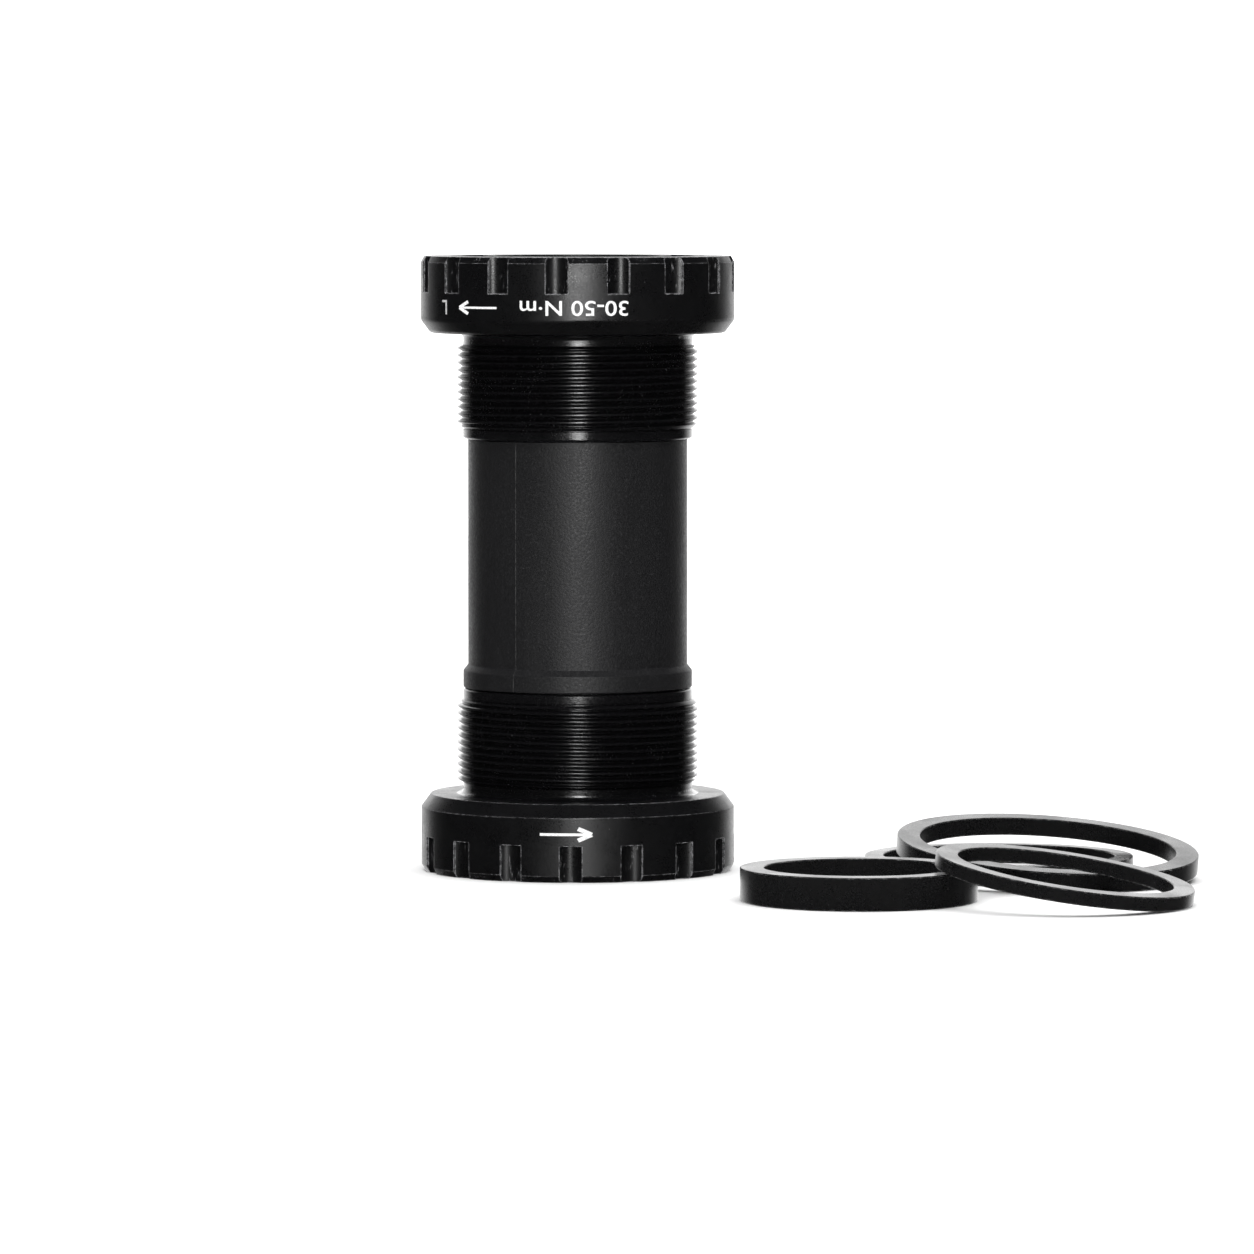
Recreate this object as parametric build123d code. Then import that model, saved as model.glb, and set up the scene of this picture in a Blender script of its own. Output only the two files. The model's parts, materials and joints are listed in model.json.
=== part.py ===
from build123d import *
import os
from math import hypot, radians, sqrt, tan

# Threaded external bottom bracket for a 24 mm spindle, stood on its right cup, with the four
# loose spacer rings that come with it. Millimetres. +Z runs along the spindle axis from the
# right cup to the left cup. The origin is on the axis, in the right cup's outboard plane.

# Whole unit
UNIT_LENGTH = 88.8
CUP_LENGTH = 26.35

# Cup outside, measured inward from its outboard face
FLANGE_RADIUS = 22.65
FLANGE_DEPTH = 11.1
FRONT_CHAMFER_RADIAL = 0.5
FRONT_CHAMFER_AXIAL = 0.9
BACK_CHAMFER_RADIAL = 1.4
BACK_CHAMFER_AXIAL = 1.9
RIGHT_BACK_ROUND = 0.12
LEFT_BACK_ROUND = 0.9
NECK_ROUND = 0.8
LAND_RADIUS = 16.6
LAND_CHAMFER = 0.25
GROOVE_DEPTH = 0.15
GROOVE_WIDTH = 0.2

# Thread: 1.37 inch by 24 turns an inch, 55 degree flanks
THREAD_PITCH = 25.4 / 24
CREST_RADIUS = 17.4
ROOT_RADIUS = 16.75
FLANK_ANGLE = 27.5
ROOT_FLAT = 0.12
THREAD_START = 13.2
THREAD_RUN_OUT = 0.45
THREAD_END = 24.0
THREAD_LEAD_IN = 0.75
CUTTER_START = 12.2
CUTTER_END = 25.55
CUTTER_MARGIN = 0.15
LEAST_LEFT_OVER = 0.96
MOST_LEFT_OVER = 0.97

# Tool notches round the flange
NOTCH_COUNT = 16
NOTCH_WIDTH = 3.2
NOTCH_LENGTH = 5.2
NOTCH_DEPTH = 1.0
NOTCH_FLOOR_RADIUS = 2.2
RIGHT_NOTCH_TURN = -92.2
LEFT_NOTCH_TURN = -97.2

# Cup inside
SEAT_LEAD_IN = 0.3
SLEEVE_BORE_RADIUS = 15.0
RELIEF_RADIUS = 17.3
RELIEF_DEPTH = 0.5

# Bearing, 25 x 37 x 7
BEARING_BORE_RADIUS = 12.5
BEARING_RADIUS = 18.5
BEARING_WIDTH = 7.0
BEARING_START = 1.6
RACE_CHAMFER = 0.3
INNER_LAND_RADIUS = 14.0
OUTER_LAND_RADIUS = 17.0
BALL_RADIUS = 1.75
BALL_COUNT = 18
RACEWAY_CLEARANCE = 0.04
POCKET_CLEARANCE = 0.1
CAGE_INNER_RADIUS = 14.75
CAGE_OUTER_RADIUS = 16.25
CAGE_BACK = 2.3
CAGE_FRONT = 1.3
SEAL_STEP_RADIUS = 17.45
SEAL_STEP_DEPTH = 0.65
SEAL_THICKNESS = 0.5
SEAL_GAP = 0.08

# Dust cover, which turns with the spindle and the inner race
SPINDLE_RADIUS = 12.0
COVER_RADIUS = 17.88
COVER_THICKNESS = 1.1
COVER_LENGTH = 9.6
COVER_BOSS_RADIUS = 13.7
COVER_RECESS_INNER = 13.6
COVER_RECESS_OUTER = 16.9
COVER_RECESS_DEPTH = 0.35
COVER_ROUND = 0.25
COVER_SEAL_INNER = 17.95
COVER_SEAL_START = 0.35
COVER_SEAL_THICKNESS = 1.15

# Sleeve between the cups
SLEEVE_RADIUS = 15.85
SLEEVE_WALL = 1.35
FLARE_RADIUS = 16.55
FLARE_TOP = 28.9
FLARE_SLOPE_TOP = 29.8
FLARE_ROUND = 0.35
SLEEVE_END_GAP = 0.15
SPIGOT_RADIUS = 14.92
SPIGOT_LENGTH = 6.0
SPIGOT_BORE_RADIUS = 13.1
SPIGOT_LEAD_IN = 0.4
SPIGOT_TAPER = 1.6
SEAM_TURN = -123.5
SEAM_WIDTH = 0.14
SEAM_HEIGHT = 0.05
SEAM_ROOT = 0.3
O_RING_SECTION = 0.5
O_RING_OUTER_RADIUS = 14.96
O_RING_FROM_SHOULDER = 3.2
O_RING_GROOVE_SLACK = 0.1

# Spacer rings: outer radius, inner radius, thickness
SPACER_EDGE = 0.12
SPACER_TALL = (16.5, 13.2, 4.6)
SPACER_FLAT = (19.3, 16.65, 2.75)
SPACER_WIDE = (21.55, 18.3, 2.57)
SPACER_SLIM = (18.05, 15.05, 1.98)

# Where each spacer lies: centre, then the rise of its plane per unit along X and along Y
TALL_PLACE = (39.3, -47.6, 0, 0)
FLAT_PLACE = (60.7, -8.0, 0, 0)
WIDE_PLACE = (67.1, -16.8, -0.063, 0.106)
SLIM_PLACE = (67.4, -53.6, -0.146, 0.06)


def outline(points, rounds=()):
    """A closed (radius, height) outline, with the corners in rounds given their own radius."""
    face = Face(Wire(Polyline(*points, close=True).edges()))
    for corner, radius in rounds:
        nearest = face.vertices().sort_by_distance((corner[0], corner[1], 0))[0]
        face = face.fillet_2d(radius, [nearest])
    return face


def turned(points, rounds=()):
    """A solid of revolution about Z."""
    return revolve(Plane.XZ * outline(points, rounds), Axis.Z)


def tube(outer, inner, low, high):
    """A plain ring between two heights."""
    return turned([(inner, low), (outer, low), (outer, high), (inner, high)])


def around(shape, count, start=0.0):
    """Copies of one shape, evenly spaced about Z."""
    return [Rot(0, 0, start + 360 * index / count) * shape for index in range(count)]


def thread_cutter():
    """The V that the threading tool removes from a left-hand thread, as one helical solid.

    It starts over the relief neck and ends over the plain land, so both its ends are in air.
    """
    outer = CREST_RADIUS + CUTTER_MARGIN
    root_half = ROOT_FLAT / 2
    outer_half = root_half + (outer - ROOT_RADIUS) * tan(radians(FLANK_ANGLE))
    path = Helix(
        pitch=THREAD_PITCH,
        height=CUTTER_END - CUTTER_START,
        radius=ROOT_RADIUS,
        center=(0, 0, CUTTER_START),
        lefthand=True,
    )
    corners = [
        (ROOT_RADIUS, 0, CUTTER_START - root_half),
        (outer, 0, CUTTER_START - outer_half),
        (outer, 0, CUTTER_START + outer_half),
        (ROOT_RADIUS, 0, CUTTER_START + root_half),
    ]
    section = Face(Wire(Polyline(*corners, close=True).edges()))
    return sweep(section, path, is_frenet=True)


def notch_cutter():
    """One tool notch: a hollow floor between two straight walls, open at the outboard face."""
    height = NOTCH_LENGTH * 2
    floor_centre = FLANGE_RADIUS - NOTCH_DEPTH + NOTCH_FLOOR_RADIUS
    floor = Pos(floor_centre, 0, 0) * Cylinder(NOTCH_FLOOR_RADIUS, height)
    walls = Pos(floor_centre, 0, 0) * Box(NOTCH_FLOOR_RADIUS * 2, NOTCH_WIDTH, height)
    return floor & walls


def cup_outside(back_rounds):
    """The cup as a solid bar: flange, relief neck, thread blank and plain land."""
    back = FLANGE_DEPTH - BACK_CHAMFER_AXIAL
    back_radius = FLANGE_RADIUS - BACK_CHAMFER_RADIAL
    thread_end = THREAD_END + THREAD_LEAD_IN
    groove_end = thread_end + GROOVE_WIDTH
    points = [
        (0, 0),
        (FLANGE_RADIUS - FRONT_CHAMFER_RADIAL, 0),
        (FLANGE_RADIUS, FRONT_CHAMFER_AXIAL),
        (FLANGE_RADIUS, back),
        (back_radius, FLANGE_DEPTH),
        (LAND_RADIUS, FLANGE_DEPTH),
        (LAND_RADIUS, THREAD_START - THREAD_RUN_OUT),
        (CREST_RADIUS, THREAD_START),
        (CREST_RADIUS, THREAD_END),
        (ROOT_RADIUS, thread_end),
        (LAND_RADIUS - GROOVE_DEPTH, thread_end),
        (LAND_RADIUS - GROOVE_DEPTH, groove_end),
        (LAND_RADIUS, groove_end),
        (LAND_RADIUS, CUP_LENGTH - LAND_CHAMFER),
        (LAND_RADIUS - LAND_CHAMFER, CUP_LENGTH),
        (0, CUP_LENGTH),
    ]
    rounds = [
        ((FLANGE_RADIUS, back), back_rounds),
        ((back_radius, FLANGE_DEPTH), back_rounds),
        ((LAND_RADIUS, FLANGE_DEPTH), NECK_ROUND),
    ]
    return turned(points, rounds)


def cup_inside():
    """The bore: bearing seat, relief behind the bearing, and the sleeve's socket."""
    seat_end = BEARING_START + BEARING_WIDTH
    relief_end = seat_end + RELIEF_DEPTH
    points = [
        (0, -1),
        (BEARING_RADIUS + SEAT_LEAD_IN, -1),
        (BEARING_RADIUS + SEAT_LEAD_IN, 0),
        (BEARING_RADIUS, SEAT_LEAD_IN),
        (BEARING_RADIUS, seat_end),
        (RELIEF_RADIUS, seat_end),
        (RELIEF_RADIUS, relief_end),
        (SLEEVE_BORE_RADIUS, relief_end),
        (SLEEVE_BORE_RADIUS, CUP_LENGTH + 1),
        (0, CUP_LENGTH + 1),
    ]
    return turned(points)


def cup(notch_turn, back_rounds):
    """A right cup: outboard face at height 0, the bore going up, a left-hand thread."""
    body = cup_outside(back_rounds)
    for cutter in around(notch_cutter(), NOTCH_COUNT, notch_turn):
        body -= cutter
    body -= cup_inside()
    threaded = body - thread_cutter()
    left_over = threaded.volume / body.volume
    if not LEAST_LEFT_OVER < left_over < MOST_LEFT_OVER:
        raise RuntimeError("the thread was not cut cleanly")
    return threaded


def raceway():
    """The torus that both races are cut with, and that the balls run in."""
    middle = BEARING_START + BEARING_WIDTH / 2
    pitch_radius = (INNER_LAND_RADIUS + OUTER_LAND_RADIUS) / 2
    return Pos(0, 0, middle) * Torus(pitch_radius, BALL_RADIUS + RACEWAY_CLEARANCE)


def outer_race():
    low = BEARING_START
    high = BEARING_START + BEARING_WIDTH
    points = [
        (SEAL_STEP_RADIUS, low),
        (BEARING_RADIUS - RACE_CHAMFER, low),
        (BEARING_RADIUS, low + RACE_CHAMFER),
        (BEARING_RADIUS, high - RACE_CHAMFER),
        (BEARING_RADIUS - RACE_CHAMFER, high),
        (SEAL_STEP_RADIUS, high),
        (SEAL_STEP_RADIUS, high - SEAL_STEP_DEPTH),
        (OUTER_LAND_RADIUS, high - SEAL_STEP_DEPTH),
        (OUTER_LAND_RADIUS, low + SEAL_STEP_DEPTH),
        (SEAL_STEP_RADIUS, low + SEAL_STEP_DEPTH),
    ]
    return turned(points) - raceway()


def inner_race():
    low = BEARING_START
    high = BEARING_START + BEARING_WIDTH
    points = [
        (BEARING_BORE_RADIUS + RACE_CHAMFER, low),
        (INNER_LAND_RADIUS, low),
        (INNER_LAND_RADIUS, high),
        (BEARING_BORE_RADIUS + RACE_CHAMFER, high),
        (BEARING_BORE_RADIUS, high - RACE_CHAMFER),
        (BEARING_BORE_RADIUS, low + RACE_CHAMFER),
    ]
    return turned(points) - raceway()


def ball_ring(radius):
    """One sphere at each ball's place."""
    middle = BEARING_START + BEARING_WIDTH / 2
    pitch_radius = (INNER_LAND_RADIUS + OUTER_LAND_RADIUS) / 2
    return around(Pos(pitch_radius, 0, middle) * Sphere(radius), BALL_COUNT)


def ball_cage():
    """A snap cage: a ring on the outboard side, with a pocket that grips each ball."""
    middle = BEARING_START + BEARING_WIDTH / 2
    cage = tube(CAGE_OUTER_RADIUS, CAGE_INNER_RADIUS, middle - CAGE_BACK, middle + CAGE_FRONT)
    for pocket in ball_ring(BALL_RADIUS + POCKET_CLEARANCE):
        cage -= pocket
    return cage


def bearing_seal(low):
    return tube(SEAL_STEP_RADIUS, INNER_LAND_RADIUS + SEAL_GAP, low, low + SEAL_THICKNESS)


def dust_cover():
    """A cap whose tube lines the inner race down to the spindle's diameter."""
    points = [
        (SPINDLE_RADIUS, 0),
        (COVER_RECESS_INNER, 0),
        (COVER_RECESS_INNER, COVER_RECESS_DEPTH),
        (COVER_RECESS_OUTER, COVER_RECESS_DEPTH),
        (COVER_RECESS_OUTER, 0),
        (COVER_RADIUS, 0),
        (COVER_RADIUS, COVER_THICKNESS),
        (COVER_BOSS_RADIUS, COVER_THICKNESS),
        (COVER_BOSS_RADIUS, BEARING_START),
        (BEARING_BORE_RADIUS, BEARING_START),
        (BEARING_BORE_RADIUS, COVER_LENGTH),
        (SPINDLE_RADIUS, COVER_LENGTH),
    ]
    rounds = [((COVER_RADIUS, 0), COVER_ROUND)]
    return turned(points, rounds)


def cover_seal():
    end = COVER_SEAL_START + COVER_SEAL_THICKNESS
    return tube(BEARING_RADIUS, COVER_SEAL_INNER, COVER_SEAL_START, end)


def o_ring_height():
    """Where the O-ring sits, as a height in the cup's own frame."""
    return CUP_LENGTH + SLEEVE_END_GAP - O_RING_FROM_SHOULDER


def o_ring():
    centre = O_RING_OUTER_RADIUS - O_RING_SECTION
    return Pos(0, 0, o_ring_height()) * Torus(centre, O_RING_SECTION)


def o_ring_groove():
    half = O_RING_SECTION + O_RING_GROOVE_SLACK
    floor = O_RING_OUTER_RADIUS - 2 * O_RING_SECTION
    return tube(SPIGOT_RADIUS + 1, floor, o_ring_height() - half, o_ring_height() + half)


def sleeve():
    """The dust sleeve: a thin tube with a spigot at each end and a flare at its right end."""
    low_shoulder = CUP_LENGTH + SLEEVE_END_GAP
    high_shoulder = UNIT_LENGTH - low_shoulder
    low = low_shoulder - SPIGOT_LENGTH
    high = high_shoulder + SPIGOT_LENGTH
    inner = SLEEVE_RADIUS - SLEEVE_WALL
    points = [
        (SPIGOT_BORE_RADIUS, low),
        (SPIGOT_RADIUS - SPIGOT_LEAD_IN, low),
        (SPIGOT_RADIUS, low + SPIGOT_LEAD_IN),
        (SPIGOT_RADIUS, low_shoulder),
        (FLARE_RADIUS, low_shoulder),
        (FLARE_RADIUS, FLARE_TOP),
        (SLEEVE_RADIUS, FLARE_SLOPE_TOP),
        (SLEEVE_RADIUS, high_shoulder),
        (SPIGOT_RADIUS, high_shoulder),
        (SPIGOT_RADIUS, high - SPIGOT_LEAD_IN),
        (SPIGOT_RADIUS - SPIGOT_LEAD_IN, high),
        (SPIGOT_BORE_RADIUS, high),
        (SPIGOT_BORE_RADIUS, high_shoulder - SPIGOT_TAPER),
        (inner, high_shoulder - 2 * SPIGOT_TAPER),
        (inner, low_shoulder + 2 * SPIGOT_TAPER),
        (SPIGOT_BORE_RADIUS, low_shoulder + SPIGOT_TAPER),
    ]
    rounds = [
        ((FLARE_RADIUS, low_shoulder), FLARE_ROUND / 2),
        ((FLARE_RADIUS, FLARE_TOP), FLARE_ROUND),
        ((SLEEVE_RADIUS, FLARE_SLOPE_TOP), FLARE_ROUND),
    ]
    body = turned(points, rounds)
    body -= o_ring_groove()
    body -= at_left(o_ring_groove())
    # The mould's parting lines, one each side
    seam_length = high_shoulder - FLARE_SLOPE_TOP - 2 * FLARE_ROUND
    seam_middle = FLARE_SLOPE_TOP + FLARE_ROUND + seam_length / 2
    seam_depth = SEAM_ROOT + SEAM_HEIGHT
    seam_centre = SLEEVE_RADIUS + SEAM_HEIGHT - seam_depth / 2
    seam = Pos(seam_centre, 0, seam_middle) * Box(seam_depth, SEAM_WIDTH, seam_length)
    for line in around(seam, 2, SEAM_TURN):
        body += line
    return body


def spacer(size, place):
    """A loose ring, tilted to its place, with its lowest point on the ground."""
    outer, inner, thickness = size
    centre_x, centre_y, rise_x, rise_y = place
    rise = hypot(rise_x, rise_y)
    lift = outer * rise / sqrt(1 + rise * rise)
    points = [
        (inner + SPACER_EDGE, 0),
        (outer - SPACER_EDGE, 0),
        (outer, SPACER_EDGE),
        (outer, thickness - SPACER_EDGE),
        (outer - SPACER_EDGE, thickness),
        (inner + SPACER_EDGE, thickness),
        (inner, thickness - SPACER_EDGE),
        (inner, SPACER_EDGE),
    ]
    seat = Plane(origin=(centre_x, centre_y, lift), z_dir=(-rise_x, -rise_y, 1))
    return seat.location * turned(points)


def at_right(shape):
    """The right cup's frame is the unit's own frame."""
    return shape


def at_left(shape):
    """The left side is the right side's mirror image, the hand of its thread included."""
    return Pos(0, 0, UNIT_LENGTH) * mirror(shape, about=Plane.XY)


def save(name, shape):
    export_step(shape, "parts/" + name + ".step")


os.makedirs("parts", exist_ok=True)

save("right_cup", at_right(cup(RIGHT_NOTCH_TURN, RIGHT_BACK_ROUND)))
save("left_cup", at_left(cup(LEFT_NOTCH_TURN, LEFT_BACK_ROUND)))
save("sleeve", sleeve())

outboard_seal_low = BEARING_START + SEAL_STEP_DEPTH - SEAL_THICKNESS
inboard_seal_low = BEARING_START + BEARING_WIDTH - SEAL_STEP_DEPTH
for side, place in (("right", at_right), ("left", at_left)):
    balls = [place(ball) for ball in ball_ring(BALL_RADIUS)]
    save(side + "_bearing_outer_race", place(outer_race()))
    save(side + "_bearing_inner_race", place(inner_race()))
    save(side + "_bearing_balls", Compound(children=balls))
    save(side + "_bearing_cage", place(ball_cage()))
    save(side + "_outboard_seal", place(bearing_seal(outboard_seal_low)))
    save(side + "_inboard_seal", place(bearing_seal(inboard_seal_low)))
    save(side + "_dust_cover", place(dust_cover()))
    save(side + "_cover_seal", place(cover_seal()))
    save(side + "_sleeve_o_ring", place(o_ring()))

save("spacer_tall", spacer(SPACER_TALL, TALL_PLACE))
save("spacer_flat", spacer(SPACER_FLAT, FLAT_PLACE))
save("spacer_wide", spacer(SPACER_WIDE, WIDE_PLACE))
save("spacer_slim", spacer(SPACER_SLIM, SLIM_PLACE))
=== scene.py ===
import json
import math
import bpy
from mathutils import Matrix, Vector


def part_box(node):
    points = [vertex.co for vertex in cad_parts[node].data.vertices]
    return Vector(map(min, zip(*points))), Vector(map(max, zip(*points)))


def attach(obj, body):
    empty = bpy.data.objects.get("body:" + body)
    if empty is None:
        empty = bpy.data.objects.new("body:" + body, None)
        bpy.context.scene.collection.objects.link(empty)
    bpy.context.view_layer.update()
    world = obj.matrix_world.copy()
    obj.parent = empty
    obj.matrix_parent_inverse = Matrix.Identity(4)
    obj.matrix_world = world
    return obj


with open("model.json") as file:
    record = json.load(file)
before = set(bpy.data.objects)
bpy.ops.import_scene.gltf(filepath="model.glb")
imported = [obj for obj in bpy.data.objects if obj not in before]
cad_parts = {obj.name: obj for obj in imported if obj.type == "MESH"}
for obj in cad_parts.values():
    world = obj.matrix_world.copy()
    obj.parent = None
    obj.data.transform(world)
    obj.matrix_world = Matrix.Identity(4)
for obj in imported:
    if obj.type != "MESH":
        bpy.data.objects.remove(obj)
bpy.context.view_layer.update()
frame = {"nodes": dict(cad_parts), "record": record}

# Everything is in metres. +Z runs along the spindle axis, and the camera stands on the -Y side.
MM = 0.001
nodes = frame["nodes"]
scene = bpy.context.scene

right_low, right_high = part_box("right_cup")
left_low, left_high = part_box("left_cup")
sleeve_low, sleeve_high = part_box("sleeve")
FLANGE_RADIUS = (right_high.x - right_low.x) / 2
UNIT_TOP = left_high.z
NOTCH_LENGTH = 5.25 * MM
NOTCH_RIM = 0.22 * MM
NOTCH_FLOOR = (1.6 * MM, 1.5 * MM)
THREAD_RADIUS = 17.6 * MM
SEAM_DEGREES = -123.5


class Nodes:
    """A material's node tree, with short calls for the few nodes that every finish here uses."""

    def __init__(self, name):
        self.material = bpy.data.materials.new(name)
        self.material.use_nodes = True
        self.tree = self.material.node_tree
        self.shader = self.tree.nodes["Principled BSDF"]
        place = self.add("ShaderNodeTexCoord")
        self.place = place.outputs["Object"]
        split = self.add("ShaderNodeSeparateXYZ")
        self.link(self.place, split.inputs[0])
        self.x, self.y, self.z = split.outputs

    def add(self, kind):
        return self.tree.nodes.new(kind)

    def link(self, output, socket):
        self.tree.links.new(output, socket)

    def feed(self, value, socket):
        if hasattr(value, "is_linked"):
            self.link(value, socket)
        else:
            socket.default_value = value

    def math(self, operation, first, second=0.0, clamp=False):
        node = self.add("ShaderNodeMath")
        node.operation = operation
        node.use_clamp = clamp
        self.feed(first, node.inputs[0])
        self.feed(second, node.inputs[1])
        return node.outputs[0]

    def ramp(self, value, low, high, start=0.0, end=1.0):
        """value from low to high becomes start to end, held at both ends."""
        node = self.add("ShaderNodeMapRange")
        self.feed(value, node.inputs["Value"])
        node.inputs["From Min"].default_value = low
        node.inputs["From Max"].default_value = high
        node.inputs["To Min"].default_value = start
        node.inputs["To Max"].default_value = end
        return node.outputs["Result"]

    def noise(self, grain, detail=3.0, stretch=(1.0, 1.0, 1.0), rough=0.55):
        """Noise whose features are about grain metres across, longer along an axis with stretch over 1."""
        mapping = self.add("ShaderNodeMapping")
        self.link(self.place, mapping.inputs["Vector"])
        mapping.inputs["Scale"].default_value = [1 / amount for amount in stretch]
        node = self.add("ShaderNodeTexNoise")
        self.link(mapping.outputs[0], node.inputs["Vector"])
        node.inputs["Scale"].default_value = 1 / grain
        node.inputs["Detail"].default_value = detail
        node.inputs["Roughness"].default_value = rough
        return node.outputs["Fac"]

    def cells(self, grain):
        node = self.add("ShaderNodeTexVoronoi")
        self.link(self.place, node.inputs["Vector"])
        node.inputs["Scale"].default_value = 1 / grain
        return node.outputs["Distance"]

    def radius(self):
        """The distance from the spindle axis."""
        x_squared = self.math("MULTIPLY", self.x, self.x)
        y_squared = self.math("MULTIPLY", self.y, self.y)
        return self.math("SQRT", self.math("ADD", x_squared, y_squared))

    def edge(self, width, threshold=0.03):
        """1 on a sharp edge, fading out over width. It also keeps the rounded normal for a bump."""
        bevel = self.add("ShaderNodeBevel")
        bevel.samples = 6
        bevel.inputs["Radius"].default_value = width
        self.rounded = bevel.outputs[0]
        shape = self.add("ShaderNodeNewGeometry")
        dot = self.add("ShaderNodeVectorMath")
        dot.operation = "DOT_PRODUCT"
        self.link(bevel.outputs[0], dot.inputs[0])
        self.link(shape.outputs["Normal"], dot.inputs[1])
        return self.ramp(self.math("SUBTRACT", 1.0, dot.outputs["Value"]), threshold * 0.4, threshold)

    def mix(self, amount, first, second):
        node = self.add("ShaderNodeMix")
        node.data_type = "RGBA"
        self.feed(amount, node.inputs["Factor"])
        # A Mix node lists its sockets for every type of data, and these are the colours
        self.feed(first, node.inputs[6])
        self.feed(second, node.inputs[7])
        return node.outputs[2]

    def bump(self, height, depth, strength=1.0, after=None):
        node = self.add("ShaderNodeBump")
        node.inputs["Strength"].default_value = strength
        node.inputs["Distance"].default_value = depth
        self.link(height, node.inputs["Height"])
        if after is not None:
            self.link(after, node.inputs["Normal"])
        return node.outputs["Normal"]

    def finish(self, colour=None, rough=None, normal=None, **constants):
        for value, socket in ((colour, "Base Color"), (rough, "Roughness"), (normal, "Normal")):
            if value is not None:
                self.feed(value, self.shader.inputs[socket])
        for socket, value in constants.items():
            self.shader.inputs[socket.replace("_", " ")].default_value = value
        return self.material


def grey(level, blue=1.0):
    return (level, level, level * blue, 1.0)


def anodised_cup(name):
    """Black anodised aluminium: grainy satin on the flange, glossier threads, chips, scratches and a
    painted highlight along the edges.
    """
    n = Nodes(name)
    grain = n.noise(0.26 * MM, 4.0)
    cloud = n.noise(4.0 * MM, 2.0)
    turning = n.noise(0.09 * MM, 2.0, (60.0, 60.0, 1.0))
    # Dust and short scratches that the tool has left on the notch floors
    radius = n.radius()
    rim = n.ramp(radius, FLANGE_RADIUS - NOTCH_RIM, FLANGE_RADIUS - NOTCH_RIM * 0.5, 1.0, 0.0)
    outside = n.ramp(radius, FLANGE_RADIUS - NOTCH_FLOOR[0], FLANGE_RADIUS - NOTCH_FLOOR[1])
    low_end = n.ramp(n.z, NOTCH_LENGTH, NOTCH_LENGTH + 0.05 * MM, 1.0, 0.0)
    high_end = n.ramp(n.z, UNIT_TOP - NOTCH_LENGTH - 0.05 * MM, UNIT_TOP - NOTCH_LENGTH)
    floor = n.math("MULTIPLY", n.math("MULTIPLY", rim, outside), n.math("ADD", low_end, high_end))
    streaks = n.ramp(n.noise(0.34 * MM, 5.0, (1.0, 1.0, 5.0), 0.75), 0.58, 0.66)
    where = n.ramp(n.noise(2.6 * MM, 2.0), 0.50, 0.60)
    scratches = n.math("MULTIPLY", n.math("MULTIPLY", floor, streaks), where)
    # Bright chips where the black has worn through at the edges, plus a thin lighter line along every edge,
    # a painted highlight where a rounded edge would catch the light
    edge = n.edge(0.20 * MM)
    broken = n.ramp(n.noise(0.6 * MM, 4.0, rough=0.7), 0.42, 0.60, 0.06, 1.0)
    flange_only = n.ramp(radius, THREAD_RADIUS, THREAD_RADIUS + 0.3 * MM)
    chips_and_edge_highlight = n.math("MULTIPLY", n.math("MULTIPLY", edge, broken), flange_only)
    specks = n.ramp(n.cells(0.9 * MM), 0.045, 0.075, 1.0, 0.0)
    rare = n.ramp(n.noise(2.4 * MM, 1.0), 0.60, 0.66)
    specks = n.math("MULTIPLY", n.math("MULTIPLY", specks, rare), 0.35)
    wear_and_edge_highlight = n.math("ADD", n.math("MULTIPLY", chips_and_edge_highlight, 0.9), n.math("MULTIPLY", scratches, 0.55))
    wear_and_edge_highlight = n.math("ADD", wear_and_edge_highlight, specks, clamp=True)
    black = n.mix(cloud, grey(0.0024, 1.12), grey(0.0048, 1.15))
    # Chips, scratches, specks and the painted edge highlight lighten the black towards bare metal
    colour = n.mix(wear_and_edge_highlight, black, grey(0.42, 1.04))
    # The threads are cut after blasting, so they shine more than the flange
    in_thread = n.ramp(radius, THREAD_RADIUS - 0.2 * MM, THREAD_RADIUS, 1.0, 0.0)
    base_rough = n.ramp(in_thread, 0.0, 1.0, 0.31, 0.16)
    rough = n.math("ADD", base_rough, n.ramp(grain, 0.3, 0.7, -0.06, 0.10))
    rough = n.math("ADD", rough, n.ramp(cloud, 0.3, 0.7, -0.03, 0.05))
    rough = n.math("ADD", rough, n.math("MULTIPLY", wear_and_edge_highlight, 0.12), clamp=True)
    normal = n.bump(grain, 0.020 * MM, 0.5, n.rounded)
    normal = n.bump(turning, 0.004 * MM, 0.45, normal)
    normal = n.bump(scratches, -0.02 * MM, 0.6, normal)
    return n.finish(colour, rough, normal, Metallic=0.0, IOR=1.6)


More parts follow.
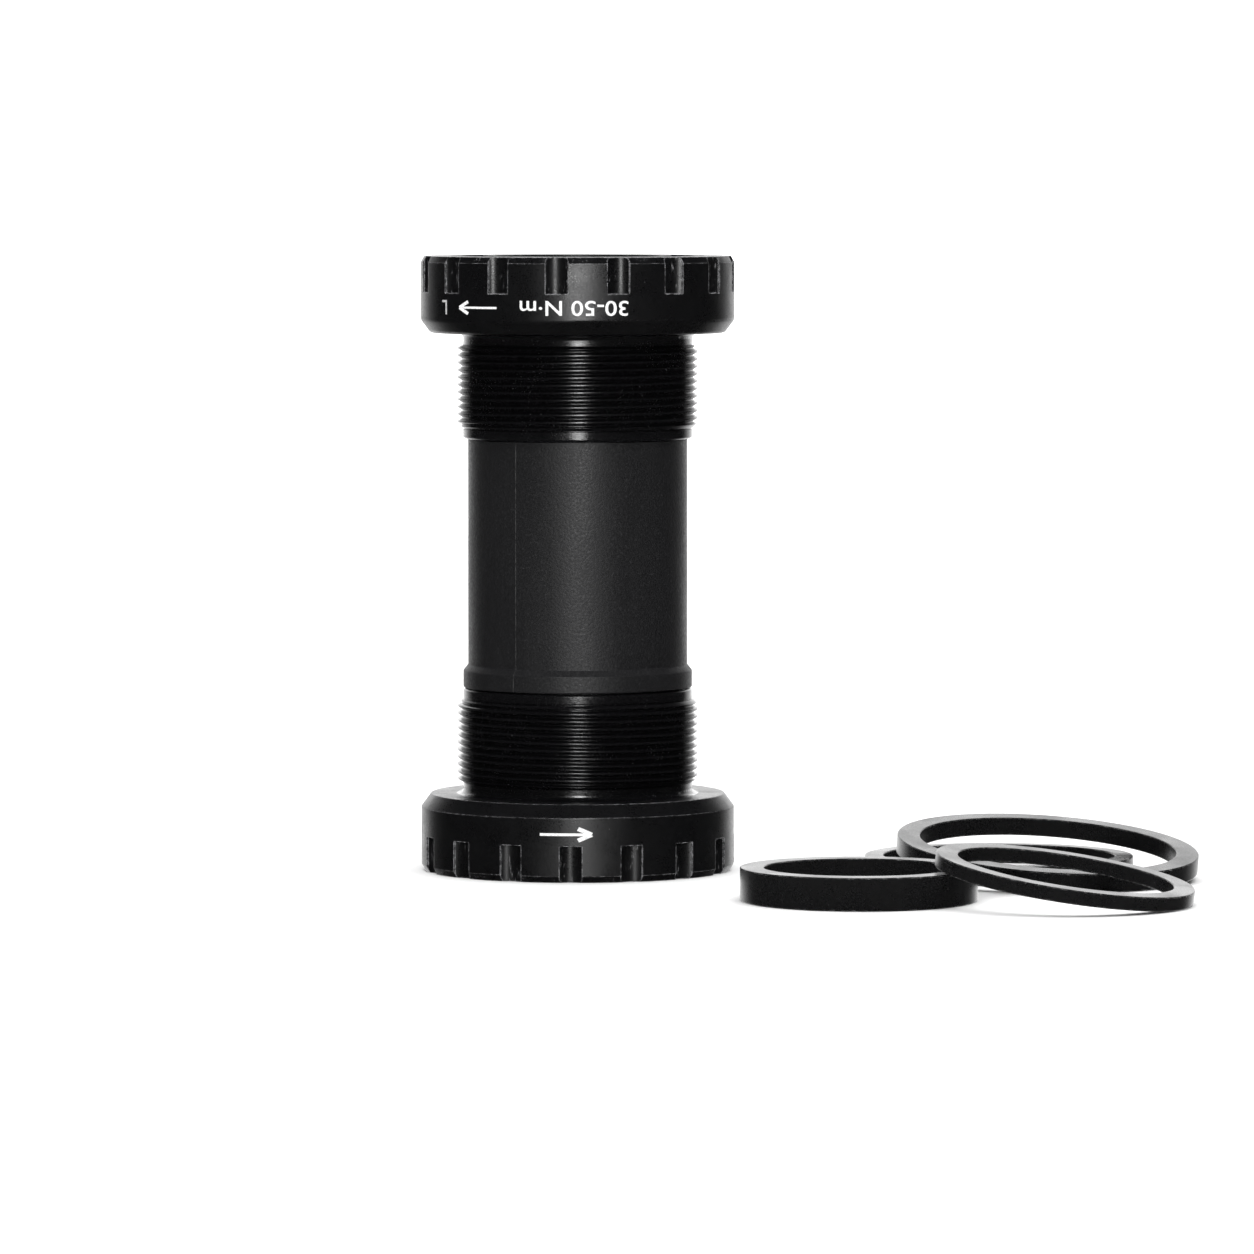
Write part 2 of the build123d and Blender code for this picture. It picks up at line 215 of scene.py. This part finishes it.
def anodised_ring(name):
    """Satin black turned rings: turning marks on the walls, a thin painted highlight along the edges and a
    few nicks.
    """
    n = Nodes(name)
    grain = n.noise(0.24 * MM, 4.0)
    cloud = n.noise(6.0 * MM, 2.0)
    turning = n.noise(0.12 * MM, 2.0, (50.0, 50.0, 1.0))
    # A thin lighter line along the edges, broken up by noise, is a painted highlight
    edge = n.edge(0.16 * MM)
    broken = n.ramp(n.noise(0.8 * MM, 4.0, rough=0.7), 0.48, 0.66, 0.05, 0.9)
    wear_and_edge_highlight = n.math("MULTIPLY", edge, broken, clamp=True)
    nicks = n.ramp(n.cells(1.7 * MM), 0.03, 0.06, 1.0, 0.0)
    rare = n.ramp(n.noise(3.0 * MM, 1.0), 0.58, 0.64)
    nicks = n.math("MULTIPLY", n.math("MULTIPLY", nicks, rare), 0.5)
    wear_and_edge_highlight = n.math("ADD", wear_and_edge_highlight, nicks, clamp=True)
    black = n.mix(cloud, grey(0.008, 1.05), grey(0.013, 1.05))
    colour = n.mix(wear_and_edge_highlight, black, grey(0.34))
    rough = n.ramp(grain, 0.3, 0.7, 0.24, 0.36)
    rough = n.math("ADD", rough, n.ramp(cloud, 0.3, 0.7, -0.05, 0.05), clamp=True)
    normal = n.bump(grain, 0.005 * MM, 0.35, n.rounded)
    normal = n.bump(turning, 0.006 * MM, 0.5, normal)
    return n.finish(colour, rough, normal, Metallic=0.0, IOR=1.6)


def moulded(name, level, rough_low, rough_high, grain_size, depth, tint=1.0, seam_degrees=None):
    """Moulded plastic: fine sparked grain with painted glints on it, faint flow marks, dust, and a painted
    highlight along the parting line if it has one.
    """
    n = Nodes(name)
    grain = n.noise(grain_size, 3.0)
    flow = n.noise(5.0 * MM, 3.0, (1.0, 1.0, 3.0))
    dust = n.ramp(n.cells(1.1 * MM), 0.03, 0.06, 1.0, 0.0)
    rare = n.ramp(n.noise(3.1 * MM, 1.0), 0.60, 0.68)
    dust = n.math("MULTIPLY", n.math("MULTIPLY", dust, rare), 0.4)
    base = n.mix(flow, grey(level * 0.85, tint), grey(level * 1.2, tint))
    # The lighter specks where the grain peaks are painted glints on the sparked texture
    base = n.mix(n.ramp(grain, 0.58, 0.72, 0.0, 0.5), base, grey(level * 2.6, tint))
    colour = n.mix(dust, base, grey(0.35))
    if seam_degrees is not None:
        # A thin paler line along the parting line is a painted highlight, where its ridge would catch the
        # light
        turn = math.radians(seam_degrees)
        along_x = n.math("MULTIPLY", n.x, math.sin(turn))
        along_y = n.math("MULTIPLY", n.y, math.cos(turn))
        across = n.math("SUBTRACT", along_x, along_y)
        seam_highlight = n.ramp(n.math("ABSOLUTE", across), 0.03 * MM, 0.09 * MM, 1.0, 0.0)
        broken = n.ramp(n.noise(0.7 * MM, 3.0), 0.40, 0.60, 0.2, 1.0)
        colour = n.mix(n.math("MULTIPLY", n.math("MULTIPLY", seam_highlight, broken), 0.4), colour, grey(0.13))
    rough = n.ramp(grain, 0.3, 0.7, rough_low, rough_high)
    rough = n.math("ADD", rough, n.ramp(flow, 0.3, 0.7, -0.04, 0.04))
    normal = n.bump(grain, depth, 0.7)
    normal = n.bump(flow, depth * 3, 0.15, normal)
    return n.finish(colour, rough, normal, IOR=1.5)


def steel(name, level, rough_low, rough_high):
    """Ground bearing steel: grinding marks round the axis, and a thin uneven film of grease."""
    n = Nodes(name)
    marks = n.noise(0.05 * MM, 2.0, (80.0, 80.0, 1.0))
    film = n.noise(1.8 * MM, 4.0)
    edge = n.edge(0.10 * MM)
    base = n.mix(film, grey(level * 0.9), grey(level * 1.05))
    # The edges are painted lighter: a painted highlight along them
    colour = n.mix(n.math("MULTIPLY", edge, 0.4), base, grey(0.8))
    rough = n.ramp(marks, 0.3, 0.7, rough_low, rough_high)
    rough = n.math("ADD", rough, n.ramp(film, 0.35, 0.7, -0.03, 0.08))
    return n.finish(colour, rough, n.bump(marks, 0.003 * MM, 0.5), Metallic=1.0)


def rubber(name):
    """Soft black rubber with a talc bloom."""
    n = Nodes(name)
    grain = n.noise(0.10 * MM, 3.0)
    bloom = n.noise(1.6 * MM, 4.0)
    colour = n.mix(n.ramp(bloom, 0.45, 0.75), grey(0.014), grey(0.030))
    rough = n.math("ADD", n.ramp(grain, 0.3, 0.7, 0.60, 0.74), n.ramp(bloom, 0.3, 0.7, -0.04, 0.06))
    return n.finish(colour, rough, n.bump(grain, 0.008 * MM, 0.6), IOR=1.5)


def paint(name, level):
    """Thin white pad print: slightly uneven cover, with a soft broken texture."""
    n = Nodes(name)
    cover = n.noise(0.25 * MM, 4.0)
    patch = n.noise(1.2 * MM, 2.0)
    colour = n.mix(n.ramp(cover, 0.34, 0.52), grey(level * 0.72), grey(level))
    rough = n.math("ADD", n.ramp(cover, 0.3, 0.7, 0.42, 0.58), n.ramp(patch, 0.3, 0.7, -0.04, 0.04))
    return n.finish(colour, rough, n.bump(cover, 0.004 * MM, 0.5), IOR=1.5)


finishes = {
    "anodised_cup": anodised_cup("anodised_cup_look"),
    "anodised_spacer": anodised_ring("anodised_spacer_look"),
    "sleeve_plastic": moulded(
        "sleeve_plastic_look", 0.0105, 0.36, 0.58, 0.36 * MM, 0.060 * MM, 1.08, SEAM_DEGREES
    ),
    "cover_plastic": moulded("cover_plastic_look", 0.011, 0.38, 0.50, 0.12 * MM, 0.008 * MM),
    "bearing_steel": steel("bearing_steel_look", 0.58, 0.16, 0.30),
    "ball_steel": steel("ball_steel_look", 0.72, 0.05, 0.10),
    "cage_nylon": moulded("cage_nylon_look", 0.52, 0.40, 0.52, 0.20 * MM, 0.010 * MM, 0.80),
    "seal_rubber": rubber("seal_rubber_look"),
}
for part in frame["record"]["subparts"]:
    mesh = nodes[part["node"]].data
    mesh.materials.clear()
    mesh.materials.append(finishes[part["material_slot"]])


# Printed marks, as thin skins wrapped round a flange
PRINT_HEIGHT = 0.02 * MM
white_print = paint("white_print_look", 0.93)
soft_print = paint("soft_print_look", 0.55)


def text_shape(words):
    """The words as flat triangles: points and faces, with the letters standing on y = 0."""
    curve = bpy.data.curves.new("words", "FONT")
    curve.body = words
    curve.resolution_u = 6
    curve.offset = 0.009
    holder = bpy.data.objects.new("words", curve)
    scene.collection.objects.link(holder)
    bpy.context.view_layer.update()
    mesh = bpy.data.meshes.new_from_object(holder.evaluated_get(bpy.context.evaluated_depsgraph_get()))
    points = [(vertex.co.x, vertex.co.y) for vertex in mesh.vertices]
    faces = [tuple(face.vertices) for face in mesh.polygons]
    bpy.data.objects.remove(holder)
    bpy.data.meshes.remove(mesh)
    bpy.data.curves.remove(curve)
    return points, faces


def strip(start, end, width, steps=8):
    """A straight stroke from start to end, divided so that it can bend round the flange."""
    along = Vector(end) - Vector(start)
    side = Vector((-along.y, along.x)).normalized() * width / 2
    points = []
    for step in range(steps + 1):
        spot = Vector(start) + along * step / steps
        points += [tuple(spot - side), tuple(spot + side)]
    faces = [(2 * step, 2 * step + 2, 2 * step + 3, 2 * step + 1) for step in range(steps)]
    return points, faces


def arrow_shape(length, stroke, head_length, head_width):
    """An arrow that points along +x from x = 0: a shaft and two swept barbs."""
    tip = (length, 0.0)
    points = []
    faces = []
    strokes = [((0.0, 0.0), tip, stroke)]
    for side in (-1, 1):
        strokes.append((tip, (length - head_length, side * head_width / 2), stroke * 1.5))
    for start, end, width in strokes:
        more_points, more_faces = strip(start, end, width)
        faces += [tuple(index + len(points) for index in face) for face in more_faces]
        points += more_points
    return points, faces


def wrap(name, shape, middle_degrees, centre_z, width, height, flip, body, material):
    """A flat shape, scaled to width by height and wrapped round the flange. flip turns it upside down."""
    points, faces = shape
    xs = [point[0] for point in points]
    ys = [point[1] for point in points]
    scale_x = width / (max(xs) - min(xs))
    scale_y = height / (max(ys) - min(ys))
    mid_x = (max(xs) + min(xs)) / 2
    mid_y = (max(ys) + min(ys)) / 2
    turn = -1.0 if flip else 1.0
    radius = FLANGE_RADIUS + PRINT_HEIGHT
    wrapped = []
    for across, up in points:
        angle = math.radians(middle_degrees) + turn * (across - mid_x) * scale_x / radius
        z = centre_z + turn * (up - mid_y) * scale_y
        wrapped.append((radius * math.sin(angle), -radius * math.cos(angle), z))
    mesh = bpy.data.meshes.new(name)
    mesh.from_pydata(wrapped, [], faces)
    mesh.materials.append(material)
    piece = bpy.data.objects.new(name, mesh)
    scene.collection.objects.link(piece)
    skin = piece.modifiers.new("thickness", "SOLIDIFY")
    skin.thickness = PRINT_HEIGHT * 1.5
    skin.offset = -1.0
    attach(piece, body)
    return piece


left_band = UNIT_TOP - 7.2 * MM
right_band = 6.9 * MM
torque = text_shape("30-50 N·m")
letter = text_shape("L")
turn_arrow = arrow_shape(7.0, 0.34, 1.8, 1.9)
plain_arrow = arrow_shape(7.6, 0.46, 2.0, 2.0)
left, right = "left_side", "right_side"
prints = [
    wrap("torque_print", torque, -1.0, left_band, 15.7 * MM, 2.15 * MM, True, left, white_print),
    wrap("turn_arrow_print", turn_arrow, -39.0, left_band, 7.0 * MM, 2.1 * MM, True, left, white_print),
    wrap("side_letter_print", letter, -56.6, left_band, 1.25 * MM, 2.05 * MM, True, left, soft_print),
    wrap("plain_arrow_print", plain_arrow, -3.8, right_band, 7.6 * MM, 2.2 * MM, False, right, white_print),
]

# The floor and the studio
floor_mesh = bpy.data.meshes.new("floor")
reach = 1.0
floor_corners = [(-reach, -reach, 0), (reach, -reach, 0), (reach, reach, 0), (-reach, reach, 0)]
floor_mesh.from_pydata(floor_corners, [], [(0, 1, 2, 3)])
floor = bpy.data.objects.new("floor", floor_mesh)
floor.location.z = -0.02 * MM
scene.collection.objects.link(floor)
paper = Nodes("paper_look")
fibres = paper.bump(paper.noise(0.8 * MM), 0.01 * MM, 0.2)
floor_mesh.materials.append(paper.finish(grey(0.86), 0.9, fibres, Specular_IOR_Level=0.1))
floor.visible_glossy = False

world = bpy.data.worlds.new("studio")
scene.world = world
world.use_nodes = True
sky = world.node_tree
direction = sky.nodes.new("ShaderNodeTexCoord")
parts = sky.nodes.new("ShaderNodeSeparateXYZ")
sky.links.new(direction.outputs["Generated"], parts.inputs[0])
depth = sky.nodes.new("ShaderNodeMapRange")
depth.inputs["From Min"].default_value = 0.72
depth.inputs["From Max"].default_value = 0.98
depth.inputs["To Min"].default_value = 0.018
depth.inputs["To Max"].default_value = 2.0
sky.links.new(parts.outputs["Y"], depth.inputs["Value"])
seen = sky.nodes.new("ShaderNodeLightPath")
bright = sky.nodes.new("ShaderNodeMath")
bright.operation = "MAXIMUM"
sky.links.new(depth.outputs["Result"], bright.inputs[0])
sky.links.new(seen.outputs["Is Camera Ray"], bright.inputs[1])
sky.links.new(bright.outputs[0], sky.nodes["Background"].inputs["Strength"])
sky.nodes["Background"].inputs["Color"].default_value = (1.0, 1.0, 1.0, 1.0)


def area(name, location, target, size, height, power):
    light = bpy.data.lights.new(name, "AREA")
    light.shape = "RECTANGLE"
    light.size = size
    light.size_y = height
    light.energy = power
    holder = bpy.data.objects.new(name, light)
    holder.location = location
    holder.rotation_euler = (Vector(target) - Vector(location)).to_track_quat("-Z", "Y").to_euler()
    scene.collection.objects.link(holder)
    return holder


middle = (0.02, 0.0, 0.045)
key = area("key", (0.03, -1.35, 0.30), middle, 0.26, 0.60, 7.5)
# The key is flagged off the loose rings, so that their faces don't glare when seen from behind
lit = bpy.data.collections.new("lit_by_key")
for piece in list(nodes.values()) + prints + [floor]:
    if not piece.name.startswith("spacer"):
        lit.objects.link(piece)
key.light_linking.receiver_collection = lit
overhead = area("overhead", (0.03, 0.15, 1.50), middle, 3.0, 3.0, 84.0)
overhead.visible_glossy = False

scene.view_settings.view_transform = "Standard"
scene.view_settings.look = "None"

# The camera, at the angle the object was photographed from
eye = bpy.data.cameras.new("eye")
eye.lens = 216.5
eye.sensor_width = 36.0
eye.clip_start = 0.05
eye.clip_end = 50.0
camera = bpy.data.objects.new("camera", eye)
camera.location = (0.00714, -1.090, 0.101)
camera.rotation_euler = (math.radians(90.0 - 3.46), 0.0, 0.0)
scene.collection.objects.link(camera)
scene.camera = camera
